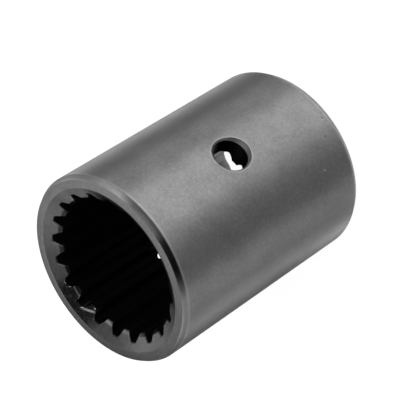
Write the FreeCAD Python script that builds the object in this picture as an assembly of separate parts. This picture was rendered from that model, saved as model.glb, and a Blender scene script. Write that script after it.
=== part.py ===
import FreeCAD, Part
import math
import os

# Coupling sleeve that joins the ends of two splined shafts.
# It is one piece of steel: a turned tube, broached from end to end with an involute spline,
# with a lead-in countersink at each mouth and one cross hole at mid-length for a locking pin.
# The cross hole is countersunk in turn where it comes out on each side.
# The axis is Z, the lower end face lies on Z = 0, and the cross hole runs along X.
# Lengths are in millimetres and angles in degrees.

# Turned body
LENGTH = 73.0
WALL = 5.4                      # between the tooth roots and the outside
EDGE_CHAMFER_WIDTH = 0.9        # how far the end chamfers reach in along the face
EDGE_CHAMFER_LENGTH = 1.5       # how far they reach along the cylinder
EDGE_ROUNDING = 0.4             # radius where the chamfer meets the cylinder

# Internal involute spline, 12/24 diametral pitch, flat root, side fit
TOOTH_COUNT = 20
MODULE = 25.4 / 12
PRESSURE_ANGLE = 30.0
TIP_HEIGHT = 0.5                # pitch circle to tooth tip, in modules
ROOT_DEPTH = 0.675              # pitch circle to root circle, in modules
SIDE_CLEARANCE = 0.3            # extra width of each space at the pitch circle
ROOT_FILLET = 0.45

# Countersink at each mouth
LEAD_MARGIN = 2.0               # how far the mouth's edge lies outside the root circle
LEAD_ANGLE = 31.0               # between the cone and the end face

# Cross hole through both walls
CROSS_HOLE_DIAMETER = 9.9
SINK_DEPTH = 1.0                # of its countersinks, measured on the hole's axis
SINK_ANGLE = 90.0               # included angle of their cone

TOOL_OVERRUN = 1.0              # how far a cutting tool passes the surface that it cuts

pitch_radius = TOOTH_COUNT * MODULE / 2
base_radius = pitch_radius * math.cos(math.radians(PRESSURE_ANGLE))
tip_radius = pitch_radius - TIP_HEIGHT * MODULE
root_radius = pitch_radius + ROOT_DEPTH * MODULE
mouth_radius = root_radius + LEAD_MARGIN
outer_radius = root_radius + WALL
cross_hole_radius = CROSS_HOLE_DIAMETER / 2
cross_hole_height = LENGTH / 2

ORIGIN = FreeCAD.Vector(0, 0, 0)
AXIS = FreeCAD.Vector(0, 0, 1)


def line(start, end):
    return Part.LineSegment(start, end).toShape()


def arc(start, middle, end):
    return Part.Arc(start, middle, end).toShape()


def rounded_corner(before, corner, after, radius):
    """The arc that rounds off the corner of two straight edges, as its three points."""
    back = (before - corner).normalize()
    ahead = (after - corner).normalize()
    half_angle = back.getAngle(ahead) / 2
    start = corner + back * (radius / math.tan(half_angle))
    end = corner + ahead * (radius / math.tan(half_angle))
    inwards = (back + ahead).normalize()
    middle = corner + inwards * (radius / math.sin(half_angle) - radius)
    return start, middle, end


def turned_body():
    """The tube as it leaves the lathe: bored to the tooth tips, countersunk and chamfered."""
    def at(radius, height):
        return FreeCAD.Vector(radius, 0, height)

    lead_depth = (mouth_radius - tip_radius) * math.tan(math.radians(LEAD_ANGLE))
    face_radius = outer_radius - EDGE_CHAMFER_WIDTH
    lower_face_edge = at(face_radius, 0)
    lower_corner = at(outer_radius, EDGE_CHAMFER_LENGTH)
    upper_corner = at(outer_radius, LENGTH - EDGE_CHAMFER_LENGTH)
    upper_face_edge = at(face_radius, LENGTH)
    lower_round = rounded_corner(lower_face_edge, lower_corner, upper_corner, EDGE_ROUNDING)
    upper_round = rounded_corner(lower_corner, upper_corner, upper_face_edge, EDGE_ROUNDING)
    half_section = Part.Wire([
        line(at(tip_radius, lead_depth), at(mouth_radius, 0)),
        line(at(mouth_radius, 0), lower_face_edge),
        line(lower_face_edge, lower_round[0]),
        arc(*lower_round),
        line(lower_round[-1], upper_round[0]),
        arc(*upper_round),
        line(upper_round[-1], upper_face_edge),
        line(upper_face_edge, at(mouth_radius, LENGTH)),
        line(at(mouth_radius, LENGTH), at(tip_radius, LENGTH - lead_depth)),
        line(at(tip_radius, LENGTH - lead_depth), at(tip_radius, lead_depth)),
    ])
    return Part.Face(half_section).revolve(ORIGIN, AXIS, 360)


def involute(pressure_angle):
    return math.tan(pressure_angle) - pressure_angle


def half_space_angle(radius):
    """Half the angle, in radians, that a space between two teeth spans at this radius."""
    at_pitch_circle = math.pi / (2 * TOOTH_COUNT) + SIDE_CLEARANCE / (2 * pitch_radius)
    pressure_angle_here = math.acos(min(1.0, base_radius / radius))
    return (at_pitch_circle + involute(math.radians(PRESSURE_ANGLE))
            - involute(pressure_angle_here))


def on_flank(radius):
    angle = half_space_angle(radius)
    return FreeCAD.Vector(radius * math.cos(angle), radius * math.sin(angle), 0)


def space_cutter():
    """A prism with the section of one space between two teeth, centred on the X axis."""
    # A curve parallel to an involute is an involute of the same base circle, turned by the
    # distance over the base radius, so the root fillet's centre and ends follow directly.
    fillet = min(ROOT_FILLET, 0.9 * root_radius * half_space_angle(root_radius))
    centre_radius = root_radius - fillet
    centre_angle = half_space_angle(centre_radius) - fillet / base_radius
    centre_to_base = math.sqrt(centre_radius ** 2 - base_radius ** 2)
    flank_end_radius = math.hypot(base_radius, centre_to_base + fillet)

    outwards = FreeCAD.Vector(math.cos(centre_angle), math.sin(centre_angle), 0)
    fillet_centre = outwards * centre_radius
    tip_end = on_flank(tip_radius)
    flank_middle = on_flank((tip_radius + flank_end_radius) / 2)
    root_end = on_flank(flank_end_radius)
    fillet_end = outwards * root_radius
    towards_corner = (root_end + fillet_end) / 2 - fillet_centre
    fillet_middle = fillet_centre + towards_corner.normalize() * fillet
    inner_end = FreeCAD.Vector(tip_radius - TOOL_OVERRUN, tip_end.y, 0)

    upper_half = [
        line(inner_end, tip_end),
        arc(tip_end, flank_middle, root_end),
        arc(root_end, fillet_middle, fillet_end),
    ]
    lower_half = [edge.mirror(ORIGIN, FreeCAD.Vector(0, 1, 0)) for edge in upper_half]
    root_middle = FreeCAD.Vector(root_radius, 0, 0)
    root = arc(fillet_end, root_middle, FreeCAD.Vector(fillet_end.x, -fillet_end.y, 0))
    back = line(FreeCAD.Vector(inner_end.x, -inner_end.y, 0), inner_end)
    outline = Part.Wire(Part.sortEdges(upper_half + [root] + lower_half + [back])[0])
    outline.translate(AXIS * -TOOL_OVERRUN)
    return Part.Face(outline).extrude(AXIS * (LENGTH + 2 * TOOL_OVERRUN))


def broached(body):
    """Cuts the spaces. A tooth, not a space, is centred on the X axis and its cross hole."""
    cutters = []
    for i in range(TOOTH_COUNT):
        cutter = space_cutter()
        cutter.rotate(ORIGIN, AXIS, (i + 0.5) * 360 / TOOTH_COUNT)
        cutters.append(cutter)
    return body.cut(cutters)


def cross_drilled(body):
    """Drills one hole through both walls and countersinks it from each side in the same pass."""
    def at(along_hole, radius):
        return FreeCAD.Vector(along_hole, 0, cross_hole_height + radius)

    reach = outer_radius + TOOL_OVERRUN
    sink_start = outer_radius - SINK_DEPTH
    widest = cross_hole_radius + (reach - sink_start) * math.tan(math.radians(SINK_ANGLE / 2))
    half_profile = Part.makePolygon([
        at(-reach, 0),
        at(-reach, widest),
        at(-sink_start, cross_hole_radius),
        at(sink_start, cross_hole_radius),
        at(reach, widest),
        at(reach, 0),
        at(-reach, 0),
    ])
    tool = Part.Face(half_profile).revolve(at(0, 0), FreeCAD.Vector(1, 0, 0), 360)
    return body.cut(tool)


os.makedirs("parts", exist_ok=True)
coupling_sleeve = cross_drilled(broached(turned_body()))
coupling_sleeve.exportStep("parts/coupling_sleeve.step")
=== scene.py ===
import bpy
import math
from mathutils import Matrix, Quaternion, Vector


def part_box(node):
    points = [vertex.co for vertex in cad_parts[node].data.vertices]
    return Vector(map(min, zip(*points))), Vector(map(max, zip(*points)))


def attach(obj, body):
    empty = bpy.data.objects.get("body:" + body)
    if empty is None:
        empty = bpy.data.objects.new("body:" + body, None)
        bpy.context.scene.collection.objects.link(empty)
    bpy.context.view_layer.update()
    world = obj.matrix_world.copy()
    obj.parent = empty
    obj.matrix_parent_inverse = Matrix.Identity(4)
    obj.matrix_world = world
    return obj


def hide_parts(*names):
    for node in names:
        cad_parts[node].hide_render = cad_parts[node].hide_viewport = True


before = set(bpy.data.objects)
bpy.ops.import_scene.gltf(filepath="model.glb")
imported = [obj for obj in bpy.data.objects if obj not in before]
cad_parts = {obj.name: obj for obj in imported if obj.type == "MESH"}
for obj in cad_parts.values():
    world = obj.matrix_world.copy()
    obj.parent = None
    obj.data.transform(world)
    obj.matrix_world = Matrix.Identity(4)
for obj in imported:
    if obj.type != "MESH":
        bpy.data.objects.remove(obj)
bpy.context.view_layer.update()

# Coupling sleeve: the turned blank.
# One piece of steel, turned from bar, bored through, countersunk at both mouths and
# chamfered outside. Its two outer corners are worn slightly round.
MM = 0.001
high_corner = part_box("coupling_sleeve")[1]
outer_radius = high_corner.x
length = high_corner.z
module = 25.4 / 12 * MM
tooth_count = 20
pitch_radius = tooth_count * module / 2
tip_radius = pitch_radius - 0.5 * module
root_radius = pitch_radius + 0.675 * module
mouth_radius = root_radius + 2.0 * MM
lead_slope = math.tan(math.radians(31))
lead_depth = (mouth_radius - tip_radius) * lead_slope
chamfer_width = 0.9 * MM
chamfer_length = 1.5 * MM
face_radius = outer_radius - chamfer_width
worn_corner = 0.14 * MM
steps_around = 240
steps_along = 36
small = 0.001 * MM  # the error allowed where a point's place is tested


def edit(obj):
    """Opens one object in edit mode with nothing else selected."""
    bpy.ops.object.select_all(action="DESELECT")
    obj.select_set(True)
    bpy.context.view_layer.objects.active = obj
    bpy.ops.object.mode_set(mode="EDIT")


def pick_edges(obj, is_wanted):
    """Keeps, in edit mode, only those selected edges whose two ends both pass a test of place."""
    bpy.ops.object.mode_set(mode="OBJECT")
    vertices = obj.data.vertices
    picked = [edge.select and all(is_wanted(vertices[i].co) for i in edge.vertices)
              for edge in obj.data.edges]
    bpy.ops.object.mode_set(mode="EDIT")
    bpy.ops.mesh.select_all(action="DESELECT")
    bpy.ops.object.mode_set(mode="OBJECT")
    for edge, is_picked in zip(obj.data.edges, picked):
        edge.select = is_picked
    bpy.ops.object.mode_set(mode="EDIT")


def from_axis(point):
    return math.hypot(point.x, point.y)


def from_end(point):
    return min(point.z, length - point.z)


outside = [
    (outer_radius, chamfer_length + (length - 2 * chamfer_length) * i / steps_along)
    for i in range(steps_along + 1)
]
half_section = [
    (mouth_radius, 0),
    (face_radius, 0),
    *outside,
    (face_radius, length),
    (mouth_radius, length),
    (tip_radius, length - lead_depth),
    (tip_radius, lead_depth),
]

bpy.ops.object.select_all(action="DESELECT")
bpy.ops.mesh.primitive_circle_add(
    vertices=steps_around, radius=tip_radius, location=(0, 0, lead_depth))
sleeve = bpy.context.object
sleeve.name = sleeve.data.name = "turned_sleeve"
bpy.ops.object.transform_apply(location=True, rotation=True, scale=True)
edit(sleeve)
bpy.ops.mesh.select_all(action="SELECT")
radius, height = tip_radius, lead_depth
for next_radius, next_height in half_section:
    bpy.ops.mesh.extrude_edges_move()
    growth = next_radius / radius
    bpy.ops.transform.resize(value=(growth, growth, 1), center_override=(0, 0, 0))
    bpy.ops.transform.translate(value=(0, 0, next_height - height))
    radius, height = next_radius, next_height
bpy.ops.mesh.select_all(action="SELECT")
bpy.ops.mesh.remove_doubles(threshold=small)
bpy.ops.mesh.normals_make_consistent(inside=False)


def on_outer_corner(point):
    """True on the circles where the chamfers meet the cylinder and the end faces."""
    at_cylinder = abs(from_axis(point) - outer_radius) < small
    at_face = abs(from_axis(point) - face_radius) < small
    return (at_cylinder and abs(from_end(point) - chamfer_length) < small
            or at_face and from_end(point) < small)


pick_edges(sleeve, on_outer_corner)
bpy.ops.mesh.bevel(offset=worn_corner, segments=3, affect="EDGES")
bpy.ops.object.mode_set(mode="OBJECT")

# Coupling sleeve: the spline.
# A broach pulled through the bore cuts twenty like spaces. Each has involute flanks that
# turn into the flat root on two small fillets.
pressure_angle = math.radians(30)
base_radius = pitch_radius * math.cos(pressure_angle)
side_clearance = 0.3 * MM
root_fillet = 0.45 * MM
overrun = 1.0 * MM


def involute(angle):
    return math.tan(angle) - angle


def half_space_angle(radius):
    """Half the angle that a space between two teeth spans at this radius."""
    at_pitch_circle = math.pi / (2 * tooth_count) + side_clearance / (2 * pitch_radius)
    here = math.acos(base_radius / radius)
    return at_pitch_circle + involute(pressure_angle) - involute(here)


def polar(radius, angle):
    return Vector((radius * math.cos(angle), radius * math.sin(angle), 0))


fillet_radius = root_radius - root_fillet
fillet_angle = half_space_angle(fillet_radius) - root_fillet / base_radius
fillet_to_base = math.sqrt(fillet_radius ** 2 - base_radius ** 2)
flank_end = math.hypot(base_radius, fillet_to_base + root_fillet)
fillet_centre = polar(fillet_radius, fillet_angle)
flank_steps, fillet_steps, root_steps = 6, 3, 2
flank_start = tip_radius - 0.2 * MM
flank = []
for i in range(flank_steps + 1):
    radius = flank_start + (flank_end - flank_start) * i / flank_steps
    flank.append(polar(radius, half_space_angle(radius)))
fillet_start = (flank[-1] - fillet_centre).to_2d()
first_turn = math.atan2(fillet_start.y, fillet_start.x)
fillet = []
for i in range(1, fillet_steps + 1):
    turn = first_turn + (fillet_angle - first_turn) * i / fillet_steps
    fillet.append(fillet_centre + polar(root_fillet, turn))
root = [polar(root_radius, fillet_angle * (1 - i / root_steps)) for i in range(1, root_steps)]
upper_half = [Vector((tip_radius - overrun, flank[0].y, 0)), *flank, *fillet, *root]
lower_half = [Vector((point.x, -point.y, 0)) for point in reversed(upper_half)]
outline = upper_half + [polar(root_radius, 0)] + lower_half

# The broach starts as one point, which is drawn round the outline of one space.
bpy.ops.object.select_all(action="DESELECT")
bpy.ops.mesh.primitive_plane_add(size=MM, location=(0, 0, 0))
broach = bpy.context.object
edit(broach)
bpy.ops.mesh.select_all(action="SELECT")
bpy.ops.mesh.merge(type="CENTER")
bpy.ops.transform.translate(value=outline[0] - Vector((0, 0, overrun)))
for before, after in zip(outline, outline[1:]):
    bpy.ops.mesh.extrude_vertices_move(TRANSFORM_OT_translate={"value": after - before})
bpy.ops.mesh.select_all(action="SELECT")
bpy.ops.mesh.edge_face_add()
bpy.ops.mesh.extrude_region_move(
    TRANSFORM_OT_translate={"value": (0, 0, length + 2 * overrun)})
bpy.ops.mesh.select_all(action="SELECT")
bpy.ops.mesh.normals_make_consistent(inside=False)
tooth_pitch = 2 * math.pi / tooth_count
bpy.ops.transform.rotate(value=tooth_pitch / 2, orient_axis="Z", center_override=(0, 0, 0))
for i in range(tooth_count - 1):
    bpy.ops.mesh.duplicate()
    bpy.ops.transform.rotate(value=tooth_pitch, orient_axis="Z", center_override=(0, 0, 0))
bpy.ops.object.mode_set(mode="OBJECT")


def cut_away(body, cutter):
    """Takes the cutter's shape out of the body and removes the cutter."""
    bpy.ops.object.select_all(action="DESELECT")
    body.select_set(True)
    bpy.context.view_layer.objects.active = body
    cut = body.modifiers.new("cut", "BOOLEAN")
    cut.operation = "DIFFERENCE"
    cut.solver = "EXACT"
    cut.object = cutter
    bpy.ops.object.modifier_apply(modifier=cut.name)
    bpy.data.objects.remove(cutter)
    edit(body)
    bpy.ops.mesh.select_all(action="SELECT")
    bpy.ops.mesh.remove_doubles(threshold=4 * small)
    bpy.ops.object.mode_set(mode="OBJECT")


cut_away(sleeve, broach)

# Coupling sleeve: the cross hole.
# A drill run square to the axis through both walls, with a 90 degree countersink at each
# side in the same setting. The rims of the countersinks are worn.
hole_radius = 4.95 * MM
hole_height = length / 2
sink_depth = 1.0 * MM
sink_start = outer_radius - sink_depth
sink_reach = sink_depth + overrun
sink_growth = (hole_radius + sink_reach) / hole_radius
worn_rim = 0.1 * MM

bpy.ops.object.select_all(action="DESELECT")
bpy.ops.mesh.primitive_cylinder_add(
    vertices=96, radius=hole_radius, depth=2 * sink_start,
    location=(0, 0, hole_height), rotation=(0, math.pi / 2, 0))
drill = bpy.context.object
bpy.ops.object.transform_apply(location=True, rotation=True, scale=True)
for way in (-1, 1):
    edit(drill)
    bpy.ops.mesh.select_all(action="DESELECT")
    bpy.ops.object.mode_set(mode="OBJECT")
    for face in drill.data.polygons:
        face.select = face.normal.x * way > 0.9
    bpy.ops.object.mode_set(mode="EDIT")
    bpy.ops.mesh.extrude_region_move(
        TRANSFORM_OT_translate={"value": (way * sink_reach, 0, 0)})
    bpy.ops.transform.resize(
        value=(1, sink_growth, sink_growth), center_override=(0, 0, hole_height))
    bpy.ops.object.mode_set(mode="OBJECT")
cut_away(sleeve, drill)


def on_countersink_rim(point):
    """True where a countersink's cone comes out of the cylinder."""
    from_hole_axis = math.hypot(point.y, point.z - hole_height)
    cone_radius = hole_radius + abs(point.x) - sink_start
    at_cone = abs(from_hole_axis - cone_radius) < 10 * small
    return at_cone and abs(from_axis(point) - outer_radius) < 10 * small


edit(sleeve)
bpy.ops.mesh.select_all(action="SELECT")
pick_edges(sleeve, on_countersink_rim)
bpy.ops.mesh.bevel(offset=worn_rim, segments=2, affect="EDGES")
bpy.ops.object.mode_set(mode="OBJECT")

# Coupling sleeve: the deburred teeth.
# Where the spline comes out in the two countersunk mouths, its sharp edges are filed off,
# so that a shaft slides in without catching.
filed_edge = 0.13 * MM
sharp_angle = math.radians(28)
smooth_angle = math.radians(24)


def on_cut_edge_in_mouth(point):
    """True on a mouth's cone, short of the circle where it meets the end face."""
    cone_height = (mouth_radius - from_axis(point)) * lead_slope
    inside_mouth = from_axis(point) < mouth_radius - small
    return inside_mouth and abs(from_end(point) - cone_height) < 5 * small


edit(sleeve)
bpy.ops.mesh.select_all(action="DESELECT")
bpy.ops.mesh.edges_select_sharp(sharpness=sharp_angle)
pick_edges(sleeve, on_cut_edge_in_mouth)
bpy.ops.mesh.bevel(offset=filed_edge, segments=1, affect="EDGES")
bpy.ops.object.mode_set(mode="OBJECT")
bpy.ops.object.shade_smooth_by_angle(angle=smooth_angle)

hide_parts("coupling_sleeve")
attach(sleeve, "root")

# Coupling sleeve: its finish.
# Steel with a dark grey heat-treated skin. The bore and cross hole are painted black as shade, and
# painted shade, painted light and painted dark reflections lie on parts of the ends, mouths and
# outside.
# The outside is ground, the ends, mouths and countersinks are as turned, and the skin has worn off
# the edges.
class Signal:
    """One output socket of a material's nodes. Arithmetic on it adds Math nodes."""

    def __init__(self, tree, socket):
        self.tree = tree
        self.socket = socket

    def node(self, kind, settings=None, inputs=None, output=0):
        """Adds a node: its settings first, then the values or links of its sockets."""
        made = self.tree.nodes.new(kind)
        for name, value in (settings or {}).items():
            setattr(made, name, value)
        for name, value in (inputs or {}).items():
            self.feed(made.inputs[name], value)
        return Signal(self.tree, made.outputs[output])

    def feed(self, socket, value):
        if isinstance(value, Signal):
            self.tree.links.new(value.socket, socket)
        else:
            socket.default_value = value

    def math(self, operation, first, second=0.0):
        return self.node("ShaderNodeMath", {"operation": operation}, {0: first, 1: second})

    def __add__(self, other):
        return self.math("ADD", self, other)

    def __sub__(self, other):
        return self.math("SUBTRACT", self, other)

    def __rsub__(self, other):
        return self.math("SUBTRACT", other, self)

    def __mul__(self, other):
        return self.math("MULTIPLY", self, other)

    def __or__(self, other):
        """Either of two masks, which is the larger of them."""
        return self.math("MAXIMUM", self, other)

    def __abs__(self):
        return self.math("ABSOLUTE", self)

    __radd__ = __add__
    __rmul__ = __mul__

    def rise(self, start, end):
        """A soft step from 0 at start to 1 at end. It falls where start is the larger."""
        return self.node(
            "ShaderNodeMapRange", {"interpolation_type": "SMOOTHSTEP"},
            {"Value": self, "From Min": start, "From Max": end})

    def vector(self, operation, other=(0, 0, 0), output="Vector"):
        return self.node(
            "ShaderNodeVectorMath", {"operation": operation}, {0: self, 1: other}, output)

    def along(self, axis):
        return self.node("ShaderNodeSeparateXYZ", None, {"Vector": self}, axis)

    def noise(self, grain, detail=2.0, roughness=0.5):
        """Noise about 0 whose grain has this size in metres."""
        return self.node("ShaderNodeTexNoise", None, {
            "Vector": self, "Scale": 1 / grain, "Detail": detail, "Roughness": roughness}) - 0.5


def on_circle(degrees):
    """The direction, square to the axis, at this angle round it from the cross hole."""
    return polar(1, math.radians(degrees))


# Small marks on the outside, placed in degrees and millimetres. The shade is how much lighter
# the skin is there, or how much darker where it has a minus.
nicks = [
    dict(angle=-36.5, height=11.9, size=0.4, shade=1.5),
    dict(angle=-4.1, height=21.3, size=0.3, shade=0.35),
    dict(angle=-20.1, height=6.2, size=0.32, shade=-0.65),
    dict(angle=-7.5, height=2.7, size=0.4, shade=-0.3),
    dict(angle=-10.2, height=3.2, size=0.5, shade=-0.35),
    dict(angle=-13.0, height=3.0, size=0.45, shade=-0.3),
]


def steel(name, gloss_stretch):
    """The sleeve's steel. Its gloss is stretched along the axis by the marks of grinding."""
    finish = bpy.data.materials.new(name)
    finish.use_nodes = True
    shader = finish.node_tree.nodes["Principled BSDF"]
    coordinates = finish.node_tree.nodes.new("ShaderNodeTexCoord")
    place = Signal(finish.node_tree, coordinates.outputs["Object"])
    facing = Signal(finish.node_tree, coordinates.outputs["Normal"])

    # Where a point of the surface lies.
    height = place.along("Z")
    from_top = length - height
    end_distance = height.math("MINIMUM", height, from_top)
    square = place.vector("MULTIPLY", (1, 1, 0))
    axis_distance = square.vector("LENGTH", output="Value")
    outwards = square.vector("NORMALIZE")
    cone_depth = (mouth_radius - axis_distance) * lead_slope
    hole_offset = place.vector("SUBTRACT", (0, 0, hole_height)).vector("MULTIPLY", (0, 1, 1))
    hole_distance = hole_offset.vector("LENGTH", output="Value")
    rim_distance = hole_distance - (abs(place.along("X")) + (hole_radius - sink_start))
    ragged = place.noise(1.5 * MM, 4, 0.7)

    def side(degrees, far, near, wander=0.0):
        """1 within the near angle of this direction round the sleeve, and 0 from the far one on."""
        nearness = outwards.vector("DOT_PRODUCT", on_circle(degrees), "Value")
        if wander:
            nearness = nearness + ragged * wander
        return nearness.rise(math.cos(math.radians(far)), math.cos(math.radians(near)))

    # The parts of the surface, each 1 there and 0 elsewhere.
    within_mouth = axis_distance.rise(mouth_radius + 0.1 * MM, mouth_radius - 0.1 * MM)
    on_cone = abs(end_distance - cone_depth).rise(0.3 * MM, 0.1 * MM) * within_mouth
    on_face = end_distance.rise(0.1 * MM, 0.03 * MM)
    on_chamfer = axis_distance.rise(face_radius - 0.12 * MM, face_radius)
    on_chamfer = on_chamfer * end_distance.rise(
        chamfer_length + 0.1 * MM, chamfer_length - 0.05 * MM)
    in_hole = hole_distance.rise(hole_radius + 0.12 * MM, hole_radius + 0.02 * MM)
    on_sink = rim_distance.rise(0.12 * MM, 0.06 * MM)
    sink_foot = height.rise(hole_height - 2 * MM, hole_height - 4.5 * MM)
    slant = abs(facing.along("Z"))
    filed = slant.rise(0.15, 0.35) * slant.rise(0.8, 0.7) * within_mouth
    filed = filed * end_distance.rise(lead_depth + 0.6 * MM, lead_depth + 0.2 * MM)
    at_top = from_top.rise(6 * MM, 4 * MM)
    on_top_face = at_top * axis_distance.rise(outer_radius - 0.05 * MM, outer_radius - 0.2 * MM)
    on_top_cone = at_top * within_mouth
    on_tooth_end = axis_distance.rise(tip_radius + 1.0 * MM, tip_radius + 0.7 * MM) * on_top_cone

    # The skin's own grain, and the tool's rings where the sleeve is as turned.
    rings = place.node("ShaderNodeCombineXYZ", None, {"X": axis_distance})
    turning_marks = rings.noise(0.45 * MM, 3, 0.7) + rings.noise(0.18 * MM, 1)
    turning_marks = turning_marks * (on_face + on_cone * 0.6 + on_chamfer)
    mottling = place.noise(0.9 * MM, 3, 0.6) + place.noise(0.35 * MM, 1) * 0.7
    patches = place.noise(9 * MM, 3, 0.55)

    # A burr runs aslant over one tooth, from its root to its end.
    burr_radius = 21.81 * MM
    burr_slant = 10.7 * MM
    past_burr = outwards.vector("DOT_PRODUCT", on_circle(268), "Value") * burr_slant
    past_burr = axis_distance + past_burr - burr_radius
    # Painted dark reflection: the tooth beside the burr is blackened.
    dark_reflection_behind_burr = past_burr.rise(-0.15 * MM, -0.4 * MM) * side(174, 7, 5.5) * on_top_cone
    dark_reflection_behind_burr = dark_reflection_behind_burr | side(162, 8, 7) * on_tooth_end

    # Black, all painted: shade deep in the bore, in the cross hole and over the ends of the teeth,
    # and dark reflections on the mouth's near side, in a blotch in the mouth and on the upper
    # chamfer.
    bore_shade = (from_top - cone_depth).rise(0.2 * MM, 0.7 * MM) * within_mouth
    bore_shade = bore_shade * (height - cone_depth).rise(7 * MM, 10 * MM)
    # Painted dark reflection, blackening the near side of the upper mouth.
    dark_reflection_in_mouth = axis_distance.rise(root_radius + 1.3 * MM, root_radius - 0.4 * MM)
    dark_reflection_in_mouth = dark_reflection_in_mouth * side(-16, 56, 42) * on_top_cone
    # Painted shade, blackening the ends of the upper teeth except on two lit sides.
    painted_shade_on_teeth = on_tooth_end * (1 - side(108, 36, 18) * 0.3 - side(207, 34, 12))
    # Painted dark reflections: a blotch in the mouth and a band on the upper chamfer.
    dark_reflection_spots = place.noise(0.9 * MM, 3, 0.65).rise(-0.14, 0.04) * 0.3 + 0.7
    dark_reflection_blotch = side(169, 24, 11, 0.07) * on_top_cone * dark_reflection_spots
    dark_reflection_on_chamfer = side(-30, 16, 6, 0.01) * on_chamfer * at_top
    dark_reflections = dark_reflection_blotch | dark_reflection_on_chamfer | dark_reflection_behind_burr
    painted_black = bore_shade | in_hole | dark_reflection_in_mouth | painted_shade_on_teeth | dark_reflections

    # Darker, all painted: shade on one side of the end face and of the mouth, and fainter dark
    # reflections on the mouth's near side and on the upper chamfer.
    painted_shade_on_end_face = side(202, 58, 10) * on_top_face * 0.3
    painted_shade_in_mouth = side(168, 68, 12) * on_top_cone * 0.71
    # Painted dark reflection, fainter, over the near side of the upper mouth.
    faint_dark_reflection_in_mouth = (side(-15, 63, 42) * 0.76 | side(-55, 42, 12) * 0.42) * on_top_cone
    # Painted dark reflection, fainter, on one side of the upper chamfer.
    faint_dark_reflection_on_chamfer = side(-20, 38, 22, 0.015) * on_chamfer * at_top * 0.76

    # Lighter, all painted: light on one side of the upper end face and shade on its other side,
    # light on one side of the mouth, low on one side of the outside and in the lower mouth, and
    # highlights on the ends of the teeth on one side.
    painted_light_and_shade_at_top = outwards.vector("DOT_PRODUCT", on_circle(70), "Value") * on_top_face * 0.2
    painted_light_and_shade_at_top = painted_light_and_shade_at_top + side(58, 20, 6) * on_top_cone * 0.5
    painted_light_low_side = side(-108, 34, 12) * height.rise(30 * MM, 4 * MM) * 1.1
    painted_light_lower_mouth = height.rise(12 * MM, 9 * MM) * within_mouth
    painted_highlight_on_teeth = side(194, 28, 6) * on_tooth_end

    # Bare steel: worn corners and rims, a painted highlight along one side of the upper end face's
    # edge, and the scraped edges of the teeth beside the dark reflection.
    corner = abs(end_distance - (chamfer_length + 0.25 * MM)).rise(0.6 * MM, 0.2 * MM)
    corner = corner * axis_distance.rise(outer_radius - 0.2 * MM, outer_radius - 0.1 * MM)
    painted_highlight_on_face_edge = abs(axis_distance - face_radius).rise(0.3 * MM, 0.1 * MM)
    painted_highlight_on_face_edge = painted_highlight_on_face_edge * side(-85, 50, 20) * at_top
    rim = abs(rim_distance - 0.3 * MM).rise(0.25 * MM, 0.1 * MM)
    rim = rim * axis_distance.rise(outer_radius - 0.3 * MM, outer_radius - 0.12 * MM)
    scraped = side(172, 26, 14) * place.noise(1.1 * MM, 1).rise(-0.02, 0.08) * 0.18
    burr = abs(past_burr).rise(0.5 * MM, 0.05 * MM) * side(178, 7, 2) * side(182, 11, 1)
    short_burr_radius = 21.15 * MM
    short_burr = abs(axis_distance - short_burr_radius).rise(0.3 * MM, 0.1 * MM) * side(164, 6, 4)
    worn_and_highlight = corner * 0.11 + painted_highlight_on_face_edge * 0.07 + rim * 0.1
    worn_and_highlight = worn_and_highlight + filed * scraped * (1 - dark_reflection_behind_burr)
    worn_and_highlight = worn_and_highlight + (burr * 0.22 + short_burr * 0.06) * on_top_cone

    # The colour, a grey throughout.
    skin_grey = 0.1
    black_grey = 0.003
    bare_grey = 0.4
    level = skin_grey * (1 + mottling * 0.62 + patches * 0.5 + turning_marks * 0.4)
    level = level * (1 + painted_light_and_shade_at_top + painted_light_low_side)
    # Painted shade darkens the upper chamfer, and painted light brightens the lower one.
    level = level * (1 - on_chamfer * at_top * 0.4 + on_chamfer * (1 - at_top) * 1.4)
    # Painted shade darkens the countersinks, more towards their lower side.
    level = level * (1 - on_sink * (0.72 + sink_foot * 0.14))
    # Painted shade darkens the filed edges of the upper teeth.
    level = level * (1 + painted_light_lower_mouth * 1.2) * (1 + painted_highlight_on_teeth * 2) * (1 - filed * at_top * 0.5)
    for stain in (painted_shade_on_end_face, painted_shade_in_mouth, faint_dark_reflection_in_mouth, faint_dark_reflection_on_chamfer):
        level = level * (1 - stain)
    for nick in nicks:
        spot = on_circle(nick["angle"]) * outer_radius + Vector((0, 0, nick["height"] * MM))
        near = place.vector("DISTANCE", spot, "Value")
        near = near.rise(nick["size"] * MM, 0.4 * nick["size"] * MM)
        level = level * (1 + near * nick["shade"])
    level = level * (1 - painted_black) + painted_black * black_grey
    level = level * (1 - worn_and_highlight) + worn_and_highlight * bare_grey
    colour = level.node(
        "ShaderNodeCombineColor", None, {"Red": level, "Green": level, "Blue": level})
    place.feed(shader.inputs["Base Color"], colour)

    # The gloss, and the relief of grain and rings.
    roughness = 0.5 + mottling * 0.1 + patches * 0.08 - on_chamfer * 0.06 - worn_and_highlight * 0.1
    place.feed(shader.inputs["Roughness"], roughness)
    metallic = 0.9 + painted_black * 0.1 - on_sink * 0.6
    place.feed(shader.inputs["Metallic"], metallic)
    shader.inputs["Specular IOR Level"].default_value = 0.2
    shader.inputs["Specular Tint"].default_value = (0.6, 0.6, 0.6, 1)
    shader.inputs["Anisotropic"].default_value = gloss_stretch
    shader.inputs["Anisotropic Rotation"].default_value = 0.25
    grain = place.noise(0.25 * MM, 2, 0.6) * 0.6 + turning_marks
    bump = place.node("ShaderNodeBump", None, {
        "Height": grain, "Strength": 0.5, "Distance": 0.02 * MM}, "Normal")
    place.feed(shader.inputs["Normal"], bump)
    return finish


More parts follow.
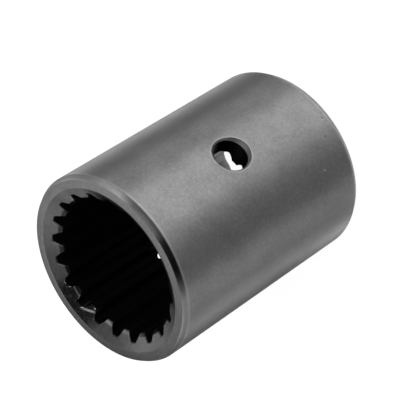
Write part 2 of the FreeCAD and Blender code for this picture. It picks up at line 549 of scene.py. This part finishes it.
ground_steel = steel("ground_steel", 0.95)
turned_steel = steel("turned_steel", 0.0)
sleeve.data.materials.clear()
sleeve.data.materials.append(ground_steel)
sleeve.data.materials.append(turned_steel)
for face in sleeve.data.polygons:
    on_cylinder = from_axis(face.center) > outer_radius - 0.01 * MM
    between_chamfers = from_end(face.center) > chamfer_length + worn_corner
    face.material_index = 0 if on_cylinder and between_chamfers else 1

# Floor.
# A sheet of plain white board, a hair below the sleeve's lower end. It is shown white and
# takes the sleeve's shadow faintly.
board_size = 4
board_gap = 0.2 * MM
board_white = 0.8
shown_white = 0.95


def seen_directly(tree):
    """1 on what the camera sees, in gloss and glass too, and 0 for the light it gives off."""
    rays = tree.nodes.new("ShaderNodeLightPath")
    camera_ray = Signal(tree, rays.outputs["Is Camera Ray"])
    glossy_ray = Signal(tree, rays.outputs["Is Glossy Ray"])
    transmission_ray = Signal(tree, rays.outputs["Is Transmission Ray"])
    either = camera_ray + glossy_ray + transmission_ray
    return either.math("MINIMUM", either, 1)


bpy.ops.object.select_all(action="DESELECT")
bpy.ops.mesh.primitive_plane_add(size=board_size, location=(0, 0, -board_gap))
floor = bpy.context.object
floor.name = "floor"
board = bpy.data.materials.new("white_board")
board.use_nodes = True
board.node_tree.nodes.clear()
seen = seen_directly(board.node_tree)
matt = seen.node("ShaderNodeBsdfDiffuse", None, {"Color": (board_white,) * 3 + (1,)})
white = seen.node("ShaderNodeEmission", None, {"Color": (1, 1, 1, 1), "Strength": 1})
shown = seen.node("ShaderNodeMixShader", None, {0: seen * shown_white, 1: matt, 2: white})
output = board.node_tree.nodes.new("ShaderNodeOutputMaterial")
seen.feed(output.inputs["Surface"], shown)
floor.data.materials.append(board)

# Room light.
# A dim, even and grey light from all round.
room_light = 0.1
world = bpy.data.worlds.new("studio")
bpy.context.scene.world = world
world.use_nodes = True
world.node_tree.nodes["Background"].inputs["Color"].default_value = (1, 1, 1, 1)
world.node_tree.nodes["Background"].inputs["Strength"].default_value = room_light

# Soft boxes.
# They stand round the sleeve and face it. Bearing and elevation are in degrees, the bearing
# from the front and turning towards the right. Sizes are in metres and the power in watts.
soft_box_distance = 1.0
soft_boxes = {
    "key_light": dict(bearing=108, elevation=50, width=0.8, height=0.45, power=31),
    "second_key_light": dict(bearing=72, elevation=50, width=0.45, height=0.45, power=4.6),
    "front_light": dict(bearing=0, elevation=18, width=0.55, height=0.5, power=4.6),
    "front_left_light": dict(bearing=325, elevation=18, width=0.4, height=0.5, power=4.8),
    "side_light": dict(bearing=117, elevation=18, width=0.5, height=0.5, power=2.5),
    "right_light": dict(bearing=149, elevation=18, width=0.35, height=0.5, power=3.4),
    "back_light": dict(bearing=200, elevation=18, width=0.35, height=0.5, power=6.9),
    "left_light": dict(bearing=252, elevation=50, width=0.45, height=0.45, power=1.9),
}


def seen_from(bearing, elevation):
    """The direction, out from the sleeve, of what stands at this bearing and elevation."""
    bearing, elevation = math.radians(bearing), math.radians(elevation)
    return Vector((math.sin(bearing) * math.cos(elevation),
                   -math.cos(bearing) * math.cos(elevation),
                   math.sin(elevation)))


for name, box in soft_boxes.items():
    lamp = bpy.data.objects.new(name, bpy.data.lights.new(name, "AREA"))
    bpy.context.scene.collection.objects.link(lamp)
    out = seen_from(box["bearing"], box["elevation"])
    lamp.location = Vector((0, 0, hole_height)) + out * soft_box_distance
    lamp.rotation_euler = out.to_track_quat("Z", "Y").to_euler()
    lamp.data.shape = "RECTANGLE"
    lamp.data.size = box["width"]
    lamp.data.size_y = box["height"]
    lamp.data.energy = box["power"]
    lamp.visible_camera = False

# Camera.
# It stands in front of the sleeve's cross hole, looks down into the upper mouth and is
# rolled, so that the sleeve lies across the picture.
picture_width = 416
lens_in_pixels = 1874.07
camera = bpy.data.objects.new("camera", bpy.data.cameras.new("camera"))
bpy.context.scene.collection.objects.link(camera)
bpy.context.scene.camera = camera
camera.data.sensor_width = 36
camera.data.lens = lens_in_pixels / picture_width * camera.data.sensor_width
aim = Vector((1.635, -0.788, 34.171)) * MM
distance = 523.5 * MM
back = seen_from(bearing=72.035, elevation=37.676)
roll = math.radians(-122.735)
camera.location = aim + back * distance
camera.rotation_mode = "QUATERNION"
camera.rotation_quaternion = (-back).to_track_quat("-Z", "Y") @ Quaternion((0, 0, 1), roll)
bpy.context.scene.view_settings.view_transform = "Standard"
